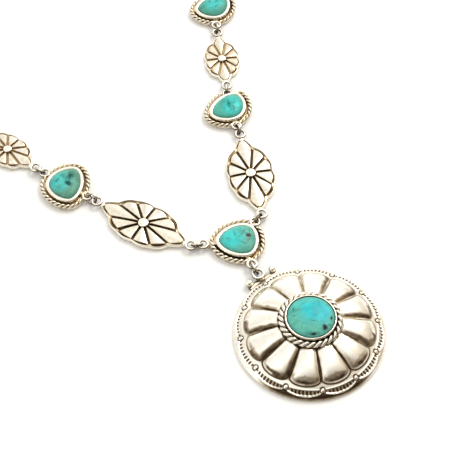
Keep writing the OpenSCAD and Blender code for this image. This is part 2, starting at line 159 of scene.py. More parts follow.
def ripple(x, y, size, seed):
    """Smooth seeded variation from about -1 to 1, with features of the given size."""
    rng = np.random.default_rng(seed)
    total = np.zeros_like(x)
    for _ in range(7):
        turn, phase, scale = rng.uniform(0, TAU), rng.uniform(0, TAU), rng.uniform(0.7, 1.5)
        total += np.sin((x * np.cos(turn) + y * np.sin(turn)) * 3.1 * scale / size + phase)
    return total / 3.2


def oxide_and_shade_share(out, shade_dir):
    """Oxide with painted shade by direction: full towards the shade direction, less on the side painted
    bright.
    """
    return 0.3 + 0.7 * smooth(out @ polar(1, shade_dir), -0.75, 0.1)


def less_by_painted_light(out, share):
    """Painted light: what is left of a station's oxide and shade, less by a share round the light
    direction.
    """
    return 1 - share * smooth(out @ polar(1, LIGHT_DIR), 0.82, 0.95)


SHARP_ANGLE = 50


class Skin:
    """Collects grids of points into one mesh, with a value of tarnish and painted shade for each point."""

    def __init__(self):
        self.points, self.tarnish_and_shade, self.faces, self.count = [], [], [], 0

    def grid(self, points, tarnish_and_shade=0.0, around=True, along=False):
        """points[i, j]: i runs round, closed if around, and j across, closed if along."""
        rows, columns = points.shape[:2]
        index = self.count + np.arange(rows * columns).reshape(rows, columns)
        if around:
            index = np.vstack([index, index[:1]])
        if along:
            index = np.hstack([index, index[:, :1]])
        corners = [index[:-1, :-1], index[1:, :-1], index[1:, 1:], index[:-1, 1:]]
        self.faces.append(np.stack(corners, -1).reshape(-1, 4))
        self.points.append(points.reshape(-1, 3))
        self.tarnish_and_shade.append(np.broadcast_to(tarnish_and_shade, (rows, columns)).reshape(-1))
        self.count += rows * columns

    def build(self, name, material, replaced):
        mesh = bpy.data.meshes.new(name)
        points = np.concatenate(self.points) * MM
        mesh.from_pydata(points.tolist(), [], np.concatenate(self.faces).tolist())
        values = mesh.attributes.new("tarnish_and_shade", "FLOAT", "POINT")
        values.data.foreach_set("value", np.concatenate(self.tarnish_and_shade).astype(np.float32))
        body = bmesh.new()
        body.from_mesh(mesh)
        bmesh.ops.remove_doubles(body, verts=body.verts, dist=2e-6)
        bmesh.ops.recalc_face_normals(body, faces=body.faces)
        body.to_mesh(mesh)
        body.free()
        mesh.shade_smooth()
        mesh.set_sharp_from_angle(angle=radians(SHARP_ANGLE))
        mesh.materials.append(material)
        piece = bpy.data.objects.new(name, mesh)
        bpy.context.scene.collection.objects.link(piece)
        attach(piece, "root")
        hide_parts(*replaced)
        return piece


def level(outline, z):
    """Points of a flat outline at a height, or at a height for each point."""
    return np.concatenate([outline, np.broadcast_to(z, outline.shape[:-1])[..., None]], -1)


class Rings:
    """Rings of points, each inside or outside the one before, that become one grid of a skin."""

    def __init__(self, at=(0, 0), heading=0):
        self.at = np.array(at)
        self.turn = np.array([polar(1, heading), polar(1, heading + 90)])
        self.points, self.tarnish_and_shade = [], []

    def add(self, flat, z, tarnish_and_shade):
        """flat: points seen from above, before they are turned to the heading and moved to their place."""
        self.points.append(level(flat @ self.turn + self.at, z))
        self.tarnish_and_shade.append(np.clip(np.broadcast_to(tarnish_and_shade, len(flat)), 0, 1))

    def onto(self, skin):
        skin.grid(np.stack(self.points, 1), np.stack(self.tarnish_and_shade, 1))


def tube(skin, line, out, radius, sides=10, closed=True, tarnish_and_shade=None):
    """A round wire along a line; out points away from what the wire lies on."""
    ahead = np.roll(line, -1, 0) - np.roll(line, 1, 0)
    if not closed:
        ahead[0], ahead[-1] = line[1] - line[0], line[-1] - line[-2]
    ahead = unit(ahead)
    first = unit(out - (out * ahead).sum(-1, keepdims=True) * ahead)
    second = np.cross(ahead, first)
    turn = np.arange(sides) * TAU / sides
    ring = np.cos(turn)[None, :, None] * first[:, None] + np.sin(turn)[None, :, None] * second[:, None]
    points = line[:, None] + radius * ring
    shade = 0.0 if tarnish_and_shade is None else tarnish_and_shade(turn, points)
    if closed:
        skin.grid(points, shade, around=True, along=True)
        return
    ends = np.broadcast_to(line[[0, -1]][:, None], (2, sides, 3))
    points = np.concatenate([ends[:1], points, ends[1:]])
    shade = np.concatenate([shade[:1], shade, shade[-1:]]) if np.ndim(shade) == 2 else shade
    skin.grid(points, shade, around=False, along=True)


def ring_wire(skin, middle, r, wire, steps=48, sides=16):
    """A flat round ring with its wire's middle line at the height of its middle."""
    out = circle(steps)

    # Painted shade: the wire is darker on its sides than on its top
    def sides_dark(around, points):
        return 0.66 * (1 - smooth((points[..., 2] - middle[2]) / (wire / 2), 0.35, 0.92))

    tube(skin, np.array(middle) + r * out, out, wire / 2, sides, tarnish_and_shade=sides_dark)


# Strands of a rope, as shares of its thickness: off its middle line, and radius
STRAND_OFF, STRAND_R = 0.235, 0.272


def rope_oxide_and_shade(middle, shade_dir, lightened, film):
    """Oxide and painted shade of a strand's points: dark where it lies deep in the rope, with painted shade
    and painted light by direction from the middle.
    """
    def crevice(around, points):
        out = unit(points[..., :2] - middle)
        oxide_and_shade = oxide_and_shade_share(out, shade_dir) * less_by_painted_light(out, lightened)
        return np.maximum(0.9 * (1 - smooth(np.cos(around), -0.35, 0.45)) * oxide_and_shade, film)
    return crevice


def twisted(skin, line, side, wire, lobes, closed, tarnish_and_shade):
    """Two round strands twisted together along a flat line, one half turn a lobe."""
    n = len(line)
    share = np.arange(n) / (n if closed else n - 1)
    up = np.array([0.0, 0.0, 1.0])
    for strand in (0, 1):
        turn = (np.pi * (lobes * share + strand))[:, None]
        out = np.cos(turn) * side + np.sin(turn) * up
        centre = line + STRAND_OFF * wire * out
        # An odd number of lobes brings each strand's end to the other's start
        if not (closed and lobes % 2):
            tube(skin, centre, out, STRAND_R * wire, closed=closed, tarnish_and_shade=tarnish_and_shade)
        elif strand == 0:
            both = np.concatenate([centre, 2 * line - centre])
            tube(skin, both, np.concatenate([out, -out]), STRAND_R * wire, tarnish_and_shade=tarnish_and_shade)


def box_tab(skin, start, heading, length, width, low, high, tarnish_and_shade=0.0):
    """A small bar with slightly rounded edges, lying along its heading."""
    ahead, side = polar(1, heading), polar(1, heading + 90)
    edge = 0.12
    half = width / 2
    section = [(-half, low), (half, low), (half, high - edge), (half - edge, high),
               (edge - half, high), (-half, high - edge)]
    ends = [np.array([[*(start + t * ahead + s * side), z] for s, z in section]) for t in (0, length)]
    middles = [np.broadcast_to(end.mean(0), end.shape) for end in ends]
    skin.grid(np.stack([middles[0], *ends, middles[1]]), tarnish_and_shade, around=False, along=True)


# Joins between conchos and stations, as in the part

def tip_ring(concho, way):
    x, y, heading, length, _ = CONCHOS[concho]
    return np.array([x, y]) + way * polar(length / 2 + RIM_REACH, heading)


def station_at(name):
    return np.array(STATIONS[name][:2])


def loop_from(start, station, pitch):
    return start + pitch * unit(station_at(station) - start)


bail_middle = PENDANT_AT + polar(BAIL_AT, BAIL_DIR)
LOOPS = {
    "centre": [loop_from(tip_ring("left_large", -1), "centre", RING_PITCH),
               loop_from(tip_ring("right_large", -1), "centre", RING_PITCH),
               loop_from(bail_middle, "centre", BAIL_R + 2 * PENDANT_WIRE_APART + LOOP_R)],
    "left_near": [loop_from(tip_ring("left_large", 1), "left_near", RING_PITCH),
                  loop_from(tip_ring("left_small", -1), "left_near", RING_PITCH)],
    "right_near": [loop_from(tip_ring("right_large", 1), "right_near", RING_PITCH),
                   loop_from(tip_ring("right_small", -1), "right_near", RING_PITCH)],
    "left_far": [loop_from(tip_ring("left_small", 1), "left_far", RING_PITCH)],
    "right_far": [loop_from(tip_ring("right_small", 1), "right_far", RING_PITCH)],
}
# The chain lies on a circle through the far stations; their outer loops are on it
CHAIN_CURVE_R, FAR_LOOP_OUT = 64.0, 9.4
far = {side: station_at(side + "_far") for side in ("left", "right")}
far_half = (far["right"] - far["left"]) / 2
curve_at = (far["left"] + far["right"]) / 2 + np.sqrt(CHAIN_CURVE_R**2 - far_half @ far_half) * unit(
    np.array([-far_half[1], far_half[0]]))
for side, way in (("right", 1), ("left", -1)):
    start = heading_of(far[side] - curve_at)
    step = 2 * np.degrees(np.arcsin(FAR_LOOP_OUT / (2 * CHAIN_CURVE_R)))
    LOOPS[side + "_far"].append(curve_at + polar(CHAIN_CURVE_R, start + way * step))


# Stations

def stone_line(row, angles):
    """Points of a stone's edge and the directions straight out from it, by direction."""
    _, _, mean, oval, oval_dir, corner, corner_dir, _ = row
    a, two, three = (np.radians(t) for t in (angles, 2 * (angles - oval_dir), 3 * (angles - corner_dir)))
    reach = mean * (1 + oval * np.cos(two) + corner * np.cos(three))
    change = -mean * (2 * oval * np.sin(two) + 3 * corner * np.sin(three))
    out = np.stack([np.cos(a), np.sin(a)], -1)
    along = np.stack([-np.sin(a), np.cos(a)], -1)
    return reach[:, None] * out + change[:, None] * along, out


def even_steps(row, low, high, distance, count, closed):
    """Angles at which a line at a distance from the stone's edge has even steps of length."""
    fine = np.linspace(low, high, 721)
    edge, out = stone_line(row, fine)
    line = edge + distance * out
    run = np.concatenate([[0], np.cumsum(np.linalg.norm(np.diff(line, axis=0), axis=1))])
    targets = run[-1] * np.arange(count) / (count if closed else count - 1)
    return np.interp(targets, run, fine), run[-1]


# Section of plate and bezel: distance from the stone's edge, height, darkness (full next to the stone and
# in the channel, rising down the bezel's outer wall)
SETTING_SECTION = [
    (-0.30, 1.30, 1.0), (-0.30, 2.20, 1.0), (-0.24, 2.62, 0.9), (-0.14, 2.80, 0.5), (0.02, 2.93, 0.08),
    (0.25, 3.00, 0.0), (0.55, 3.00, 0.0), (0.82, 2.94, 0.0), (1.01, 2.80, 0.0), (1.11, 2.60, 0.0),
    (1.15, 2.35, 0.05), (1.15, 1.95, 0.25), (1.15, 1.55, 0.6), (1.17, 1.20, 0.95), (1.25, 1.02, 1.0),
    (1.45, 1.00, 1.0), (1.85, 1.00, 1.0), (2.40, 1.00, 0.9), (2.80, 1.00, 0.6), (2.90, 0.95, 0.3),
    (2.95, 0.85, 0.2), (2.95, 0.15, 0.25), (2.85, 0.00, 0.3), (1.50, 0.00, 0.15),
]
SETTING_COLUMNS, ROPE_STEPS_A_LOBE = 220, 12


def plate_and_bezel(skin, name):
    row, here = STATIONS[name], station_at(name)
    angles, _ = even_steps(row, 0, 360, 1, SETTING_COLUMNS, True)
    edge, out = stone_line(row, angles)
    # Oxide in the channel, with painted shade by direction and less round the painted light
    oxide_and_shade = STATION_OXIDE[name][0] * oxide_and_shade_share(out, STATION_SHADE_DIR) * less_by_painted_light(out, CHANNEL_LIGHT)
    rings = Rings()
    for distance, z, tarnish_and_shade in SETTING_SECTION:
        line = here + edge + distance * out
        grime = 0.12 * ripple(line[:, 0], line[:, 1], 2.2, 5) * (tarnish_and_shade > 0)
        shade = (tarnish_and_shade + grime) * (oxide_and_shade if distance > 0.5 else 1)
        rings.add(line, z, shade)
    rings.add(np.broadcast_to(here, line.shape), 0.0, shade)
    rings.onto(skin)


def station_rope(skin, name):
    """The rope round a bezel, open where the table gives it a half angle."""
    row, here = STATIONS[name], station_at(name)
    half = row[-1]
    closed = half == 0
    faces = heading_of(LOOPS[name][1] - here)
    low, high = faces + half, faces + 360 - half
    _, length = even_steps(row, low, high, ROPE_OUT, 2, False)
    lobes = round(length / ROPE_LOBE)
    turns, _ = even_steps(row, low, high, ROPE_OUT, ROPE_STEPS_A_LOBE * lobes, closed)
    edge, out = stone_line(row, turns)
    line = level(here + edge + ROPE_OUT * out, PLATE_T + ROPE_D / 2 - ROPE_SINK)
    crevice = rope_oxide_and_shade(here, STATION_SHADE_DIR, ROPE_LIGHT, STATION_OXIDE[name][1])
    twisted(skin, line, level(out, 0.0), ROPE_D, lobes, closed, crevice)


def station_loops(skin, name):
    """A station's loops, each on a tab where it stands away from the plate."""
    here = station_at(name)
    edge, _ = stone_line(STATIONS[name], np.arange(0.0, 360.0, 3.0))
    for loop in LOOPS[name]:
        heading = heading_of(loop - here)
        inner = (edge @ polar(1, heading)).max() + TAB_START
        outer = np.linalg.norm(loop - here) - LOOP_R + TAB_PAST
        if outer > inner:
            foot = here + polar(inner, heading)
            box_tab(skin, foot, heading, outer - inner, TAB_W, FOOT_Z, LOOP_Z + TAB_OVER, 0.3)
        ring_wire(skin, [*loop, LOOP_Z], LOOP_R, RING_WIRE)


def setting(name):
    skin = Skin()
    plate_and_bezel(skin, name)
    station_rope(skin, name)
    station_loops(skin, name)
    return skin.build(name + "_setting", golden, [name + "_setting"])


# Conchos

def crowded(steps):
    """Even shares from 0 to 1, drawn in towards both ends."""
    t = np.arange(steps) / steps
    return t - 0.62 * np.sin(TAU * t) / TAU


def concho_corners(half, cx, cy):
    """The ten corners round a concho, from two columns of the quarter's table."""
    q = [np.array([row[cx] * half[0], row[cy] * half[1]]) for row in QUARTER]
    flip_x, flip_y = np.array([-1, 1]), np.array([1, -1])
    upper = [q[0], q[1], q[2], q[1] * flip_x, q[0] * flip_x]
    return upper + [-q[0], -q[1], -q[2], q[1] * flip_y, q[0] * flip_y]


CONCHO_STEPS = 40
# Of each point round a concho: which of the ten arcs it is on, and its share of the way along
ARC = np.repeat(np.arange(10), CONCHO_STEPS)
ALONG_ARC = np.tile(crowded(CONCHO_STEPS), 10)
TIP_ARCS = (4, 9)
# The dot in the middle: its edge over the petals, its dome's rise, and the gap round it
DOT_LIFT, DOT_RISE, DOT_GAP = 0.1, 0.45, 0.08
CROWN_HALF = 3.4        # half width over which a petal's top is round
# The rim's inner side and its foot are darker as painted shade
CONCHO_RIM = [  # distance in from the outline, height, tarnish
    (0.62, 1.30, 0.55), (0.55, 1.36, 0.4), (0.50, 1.55, 0.25), (0.42, 1.72, 0.1), (0.30, 1.80, 0.0),
    (0.17, 1.76, 0.0), (0.07, 1.62, 0.0), (0.01, 1.40, 0.0), (0.00, 1.10, 0.0), (0.00, 0.30, 0.05),
    (0.10, 0.05, 0.3), (0.30, 0.00, 0.2),
]
RIM_TOP_INSET = 0.45    # further in than this is the rim's inner side
CONCHO_CHANNEL = ((0.1, 0.9), (0.35, 0.85), (0.7, 0.7))   # share of the way out, tarnish


def concho_plan(half):
    """The petals' edge and the outline as closed lines, and the grooves' directions."""
    ends, valleys = concho_corners(half, 0, 1), concho_corners(half, 2, 3)
    tip_scallop, tip_petal = half[0] * (1 - QUARTER[0][2]), half[0] * (PETAL_TIP - QUARTER[0][0])

    def line(corners, column, tip):
        a, b = QUARTER[0][column], QUARTER[1][column]
        share = crowded(CONCHO_STEPS)[:, None]
        arcs = []
        for i, height in enumerate([a, b, b, a, tip, a, b, b, a, tip]):
            p, q = corners[i], corners[(i + 1) % 10]
            across = unit(np.array([q[1] - p[1], p[0] - q[0]]))
            arcs.append(p + share * (q - p) + height * np.sin(np.pi * share) * across)
        return np.concatenate(arcs)

    return line(ends, 4, tip_petal), line(valleys, 5, tip_scallop), unit(np.array(ends))


def off_line(p, direction):
    """Distance of points from a line through the middle."""
    return np.abs(p[..., 0] * direction[..., 1] - p[..., 1] * direction[..., 0])


def concho_dot(rings, dot, ways):
    """The domed dot in the middle, of radius dot."""
    for t in np.linspace(0, 1, 9):
        r = dot * np.sin(t * np.pi / 2)
        rings.add(ways * r, PETAL_H + DOT_LIFT + DOT_RISE * np.sqrt(max(0, 1 - (r / dot) ** 2)), 0.0)
    rings.add(ways * (dot + 0.03), PETAL_H - 0.25, 0.5)


def concho_petals(rings, name, dot, petal_edge, grooves):
    """Ten petals with grooves between them, rounded over at their sides and ends."""
    x, y = CONCHOS[name][:2]
    oxide_and_shade, film = CONCHO_OXIDE[name]
    groove_a, groove_b = grooves[ARC], grooves[(ARC + 1) % 10]
    axis = unit(groove_a + groove_b)
    reach = np.linalg.norm(petal_edge, axis=1)
    start = dot + DOT_GAP
    for t in np.concatenate([np.linspace(0, 0.86, 24), np.linspace(0.88, 1, 8)]):
        r = start + (reach - start) * t
        p = unit(petal_edge) * r[:, None]
        from_groove = np.minimum(off_line(p, groove_a), off_line(p, groove_b)) - GROOVE_W / 2
        from_edge = (reach - r) * 0.92
        lateral = np.minimum(off_line(p, axis), CROWN_HALF)
        crown = PETAL_H - PETAL_ROUND + np.sqrt(PETAL_ROUND**2 - lateral**2)
        rise = round_over(from_groove + 0.05, 0.28) * round_over(from_edge + 0.03, 0.35)
        z = CONCHO_BASE + (crown - CONCHO_BASE) * rise * smooth(r - dot, 0.0, 0.3)
        grime = ripple(p[:, 0] + x, p[:, 1] + y, 1.3, 3)
        in_groove = 1 - smooth(from_groove + 0.05 * grime, -0.02, 0.20)
        round_dot = 0.8 * (1 - smooth(r - dot, 0.18, 0.42))
        at_edge = 0.85 * (1 - smooth(from_edge, 0.05, 0.24))
        halo = 0.26 * (1 - smooth(from_groove + 0.1 * grime, 0.1, 0.9)) * (1 - smooth(r - dot, 0.5, 5.0))
        dark = oxide_and_shade * np.maximum.reduce([in_groove, round_dot, at_edge])
        rings.add(p, z, np.maximum.reduce([dark, halo, film + 0.03 * grime]))


def concho_rim(rings, petal_edge, outline):
    """The channel round the petals, bright in the valleys and at the tips, then the rim and back."""
    along = unit(np.roll(outline, -1, 0) - np.roll(outline, 1, 0))
    out = np.stack([along[:, 1], -along[:, 0]], -1)
    gap = outline - petal_edge
    depth = (gap * out).sum(-1)
    valley = bump_at(np.minimum(ALONG_ARC, 1 - ALONG_ARC), 0, 0.12)
    tip = np.isin(ARC, TIP_ARCS) * bump_at(ALONG_ARC, 0.5, 0.2)
    light = np.clip(0.85 * valley + 0.7 * tip, 0, 1)
    channel_w = depth - CONCHO_RIM[0][0]
    for share, tarnish_and_shade in CONCHO_CHANNEL:
        p = outline - gap * ((depth - channel_w * share) / depth)[:, None]
        rings.add(p, CONCHO_BASE + 0.12 * light, tarnish_and_shade * (1 - light) + 0.12 * light)
    for inset, z, tarnish_and_shade in CONCHO_RIM:
        p = outline - gap * np.minimum(inset / depth, 0.98)[:, None]
        rings.add(p, z, tarnish_and_shade * (1 - 0.85 * light * (inset > RIM_TOP_INSET)))
    for share in (0.5, 0.0):
        rings.add(outline * share, 0.0, 0.15)


def concho(name):
    x, y, heading, length, width = CONCHOS[name]
    petal_edge, outline, grooves = concho_plan(np.array([length / 2, width / 2]))
    dot = DOT_D / 2 * np.sqrt(length / CONCHOS["left_large"][3])
    rings = Rings((x, y), heading)
    concho_dot(rings, dot, unit(petal_edge))
    concho_petals(rings, name, dot, petal_edge, grooves)
    concho_rim(rings, petal_edge, outline)
    skin = Skin()
    rings.onto(skin)
    for way in (-1, 1):
        post = np.array([x, y]) + way * polar(length / 2 - TIP_POST_IN, heading)
        dome(skin, [*post, LOOP_Z - TIP_POST_DOWN], TIP_POST_R, TIP_POST_RISE, FOOT_Z)
        ring_wire(skin, [*tip_ring(name, way), LOOP_Z], RING_R, RING_WIRE)
    return skin.build(name + "_concho", golden, [name + "_concho"])


def dome(skin, middle, r, rise, low, steps=28):
    """A short round post with a domed top."""
    ring = circle(steps)
    middle = np.array(middle, float)
    rows = [np.broadcast_to([middle[0], middle[1], low], ring.shape),
            middle * [1, 1, 0] + [0, 0, low] + r * ring]
    for t in np.linspace(0, 1, 6):
        rows.append(middle + r * np.cos(t * np.pi / 2) * ring + [0, 0, rise * np.sin(t * np.pi / 2)])
    skin.grid(np.stack(rows, 1))


# Pendant

def dome_z(r):
    return DOME_H - DOME_R + np.sqrt(DOME_R**2 - r**2)


PENDANT_COLUMNS_A_PETAL = 84
SHADED_DIR = -121       # where the shoulder and wall are darkest
FLANK_DIR = -95         # way that the sides of the petals with painted shade face
SHOULDER_R = 23.8       # where the dome begins to roll over into the wall
SHOULDER_W = PENDANT_R - SHOULDER_R
SHOULDER_DROP = 0.5     # how far the roll has come down at the wall
STAMP_R = 0.85          # round groove of a stamp, with a ball inside it
STAMP_BALL_R = 0.72
INNER_LINE_R = 22.40    # fine line between the petals and the hatching
HATCH_R = 22.5          # where the hatching begins
RIDGE_OUT = 1.40        # how far the wavy ridge swings out between two stamps
STROKES = 10            # hatched strokes between two stamps
# Heights of the ridge, the fine line and a stamp's ball, and depths of its groove and the hatching
RIDGE_H, LINE_H, STAMP_BALL_H, STAMP_DEPTH, HATCH_DEPTH = 0.26, 0.10, 0.28, 0.18, 0.12
# The petals' edges, as widths and shares of the rise that comes over them
EDGE_CORNER, EDGE_SLOPE, EDGE_PILLOW = (0.32, 0.24), (1.5, 0.38), (3.1, 0.38)
# Rings of points, closer together in the stamped band and round the shoulder
PENDANT_RADII = np.concatenate([
    [8.2], np.linspace(10.0, 19.4, 28), np.linspace(19.55, 22.3, 19),
    np.linspace(22.38, SHOULDER_R, 14), SHOULDER_R + SHOULDER_W * np.sin(np.linspace(0.1, 1.5, 12)),
])


def petal_inside(px, py):
    """Distance in from a petal's outline, for points turned to the petal's axis."""
    half = np.radians(PETAL_HALF)
    wide = PETAL_BEND * np.tan(half)
    deep = PETAL_OUT - PETAL_BEND
    sides = (px * np.tan(half) - np.abs(py)) * np.cos(half)
    u = np.maximum(px - PETAL_BEND, 0) / deep
    v = py / wide
    oval = np.maximum(np.hypot(u, v), 1e-3)
    end = (1 - oval) * oval / np.maximum(np.hypot(u / deep, v / wide), 1e-6)
    return np.where(px < PETAL_BEND, sides, end)


def petal_height(r, px, py, inside):
    """Height of the dome, with a petal pressed out of it."""
    middle = (PETAL_IN + PETAL_OUT) / 2
    slope = np.arcsin(middle / DOME_R)
    ball_x = middle + (PETAL_RISE - PETAL_BALL_R) * np.sin(slope)
    ball_z = dome_z(middle) + (PETAL_RISE - PETAL_BALL_R) * np.cos(slope)
    ball = ball_z + np.sqrt(PETAL_BALL_R**2 - (px - ball_x) ** 2 - py**2)
    pillow = EDGE_CORNER[1] * round_over(inside, EDGE_CORNER[0])
    for width, share in (EDGE_SLOPE, EDGE_PILLOW):
        pillow = pillow + share * eased(inside, width)
    return dome_z(r) + np.maximum(ball - dome_z(r), 0) * pillow


def petal_oxide_and_shade(r, py, inside, grime, side, low_side, low_flank):
    """Oxide and painted shade between the petals; painted shade on the flanks that face the flank
    direction, on the outer ends and along the outlines towards the shaded side, and near the rope; a little
    tan on the ground beside them.
    """
    between = 0.86 * (1 - smooth(inside + 0.06 * grime, -0.04, 0.22)) * (0.3 + 0.7 * side)
    between = between * (1 - 0.55 * smooth(r, 14.0, 19.0) * (1 - 0.8 * low_side))
    between = between * (1 - smooth(r, 19.8, 21.3))
    outer = smooth(r, 12.0, 20.0)
    wide = (1.15 + 0.5 * low_flank) * (0.72 + 0.5 * outer)
    flank = (0.18 + (0.34 + 0.20 * outer) * low_flank) * (1 - smooth(inside + 0.25 * grime, 0.25, wide))
    flank = flank * smooth(inside, -0.1, 0.05) * smooth(r, 10.5, 12.0)
    end = 0.74 * low_side * smooth(r, 18.0, 19.5) * (1 - 0.5 * smooth(np.abs(py), 1.8, 3.6))
    end = end * smooth(inside, 0.25, 0.5) * (1 - smooth(inside + 0.2 * grime, 0.75, 1.6))
    outline = (0.55 + 0.45 * low_side) * bump_at(inside, -0.15, 0.21) * smooth(r, 17.2, 19.0)
    ground = (0.04 + 0.08 * (1 - low_side)) * (1 - smooth(inside, -0.9, 0.1))
    near_rope = (1 - smooth(r + 0.15 * grime, 10.5, 10.9)) * side * (1 - 0.3 * low_side)
    return np.maximum.reduce([between, flank, end, outline, ground, near_rope])


def stamped_band(r, px, py, ridge_r, stroke, shaded, low_side):
    """Height and darkness of the stamps, the ridge and fine line, and the hatched crescents: oxide in the
    stamps' grooves and the hatch strokes, painted shade beside the ridge and over the crescents towards the
    shaded side.
    """
    stamp = polar(STAMP_AT, 180 / PETALS)
    from_stamp = np.hypot(px - stamp[0], np.abs(py) - stamp[1])
    ridge = bump_at(r, ridge_r, 0.20) * smooth(from_stamp, 0.8, 1.0)
    line = bump_at(r, INNER_LINE_R, 0.13) * smooth(from_stamp, 0.9, 1.1)
    crescent = smooth(r, HATCH_R, HATCH_R + 0.15) * smooth(from_stamp, 0.95, 1.2)
    crescent = crescent * (1 - smooth(r, ridge_r - 0.30, ridge_r - 0.18))
    groove = bump_at(from_stamp, STAMP_R, 0.17)
    ball = np.sqrt(np.maximum(0, 1 - (from_stamp / STAMP_BALL_R) ** 2))
    raised = RIDGE_H * ridge + LINE_H * line + STAMP_BALL_H * ball
    relief = raised - STAMP_DEPTH * groove - HATCH_DEPTH * crescent * (0.4 + stroke)
    beside = 0.84 * shaded * smooth(r, ridge_r + 0.12, ridge_r + 0.35) * (1 - 0.45 * smooth(r, 24.5, 24.9))
    near_ridge = smooth(r, ridge_r - 1.05 - 0.75 * low_side, ridge_r - 0.80 - 0.75 * low_side)
    hatch = crescent * (0.50 * shaded + (0.80 - 0.42 * shaded) * stroke * near_ridge)
    return relief, np.maximum.reduce([beside, hatch, groove])


def pendant_face(rings, angle, ahead, shaded):
    """The dome with its petals, stamped band and rolled shoulder."""
    from_axis = (angle - PETAL_FIRST + 180 / PETALS) % (360 / PETALS) - 180 / PETALS
    across = np.stack([-ahead[:, 1], ahead[:, 0]], -1) * np.sign(from_axis)[:, None]
    # By direction: oxide in the grooves with painted shade on one side, nearness to the painted shaded
    # side, and petals' flanks that face it
    side = oxide_and_shade_share(ahead, PENDANT_SHADE_DIR)
    low_side = smooth(ahead @ polar(1, SHADED_DIR), 0.0, 0.7)
    low_flank = smooth(across @ polar(1, FLANK_DIR), 0.25, 0.9)
    stroke = smooth(0.5 - 0.5 * np.cos(np.radians(angle * PETALS * STROKES)), 0.25, 0.75)
    ridge_r = STAMP_AT + RIDGE_OUT * np.sqrt(np.cos(from_axis * PETALS / 360 * np.pi))
    for r in PENDANT_RADII:
        px, py = polar(r, from_axis)
        inside = petal_inside(px, py)
        grime = ripple(ahead[:, 0] * r, ahead[:, 1] * r, 1.6, 11)
        over = max(0, (r - SHOULDER_R) / SHOULDER_W)
        under = np.sqrt(1 - over**2)
        z = petal_height(r, px, py, inside) - SHOULDER_DROP * (1 - under)
        steep = r / DOME_R + SHOULDER_DROP / SHOULDER_W * over / under
        lean = np.array([steep, 1]) / np.hypot(steep, 1)
        relief, band = stamped_band(r, px, py, ridge_r, stroke, shaded, low_side)
        petals = petal_oxide_and_shade(r, py, inside, grime, side, low_side, low_flank)
        reach = np.minimum(r + relief * lean[0], PENDANT_R)
        rings.add(ahead * reach[:, None], z + relief * lean[1], np.maximum(band, petals))


def pendant_back(rings, ahead, shaded):
    """The wall, its rounded foot and the hollow back, with painted shade on the wall towards the shaded
    side.
    """
    low = dome_z(PENDANT_R) - SHOULDER_DROP
    for z, share in ((low - 0.05, 0.46), (0.6, 0.34), (0.35, 0.06)):
        rings.add(ahead * PENDANT_R, z, share * shaded)
    for inset, z, tarnish_and_shade in ((0.06, 0.03, 0.0), (0.3, 0.0, 0.0), (SHELL_T, 0.0, 0.3)):
        rings.add(ahead * (PENDANT_R - inset), z, tarnish_and_shade)
    rings.add(ahead * (PENDANT_R - SHELL_T), dome_z(PENDANT_R - SHELL_T) - SHELL_T - SHOULDER_DROP, 0.25)
    for r in (20.0, 14.0, 8.0, 0.0):
        rings.add(ahead * r, dome_z(r) - SHELL_T, 0.25)


# Darkness is full at the bezel's foot by the rope and at its inner lip by the stone, none on its top
CAB_SECTION = [  # distance in from the bezel's outside, height, tarnish
    (-0.10, 7.40, 1.0), (0.00, 8.20, 1.0), (0.00, 9.60, 0.9), (0.00, 10.20, 0.4), (0.06, 10.55, 0.3),
    (0.18, 10.74, 0.0), (0.32, 10.80, 0.0), (0.46, 10.76, 0.15), (0.60, 10.64, 0.7), (0.90, 10.20, 1.0),
]
CAB_COLUMNS, CAB_ROPE_STEPS_A_LOBE, CAB_ROPE_FILM = 144, 14, 0.12


def cab_bezel_and_rope(skin):
    bezel = Rings(PENDANT_AT)
    for inset, z, tarnish_and_shade in CAB_SECTION:
        bezel.add((CAB_D / 2 + CAB_BEZEL_W - inset) * circle(CAB_COLUMNS)[:, :2], z, tarnish_and_shade)
    bezel.onto(skin)
    out = circle(CAB_ROPE_STEPS_A_LOBE * CAB_ROPE_LOBES)
    line = np.array([*PENDANT_AT, CAB_ROPE_Z]) + CAB_ROPE_AT * out
    crevice = rope_oxide_and_shade(PENDANT_AT, PENDANT_SHADE_DIR, 0, CAB_ROPE_FILM)
    twisted(skin, line, out, CAB_ROPE_D, CAB_ROPE_LOBES, True, crevice)


def pendant_body():
    count = PETALS * PENDANT_COLUMNS_A_PETAL
    angle = PETAL_FIRST - 180 / PETALS + np.arange(count) * 360 / count
    ahead = polar(1, angle).T
    shaded = smooth(ahead @ polar(1, SHADED_DIR), 0.62, 0.86)
    rings = Rings(PENDANT_AT)
    pendant_face(rings, angle, ahead, shaded)
    pendant_back(rings, ahead, shaded)
    skin = Skin()
    rings.onto(skin)
    cab_bezel_and_rope(skin)
    bail(skin)
    for way in (-1, 1):
        ball(skin, [*(PENDANT_AT + polar(BALL_AT, BALL_DIR + way * BALL_SPREAD)), BALL_Z], BALL_D / 2)
    return skin.build("pendant_body", silver, ["pendant_body"])


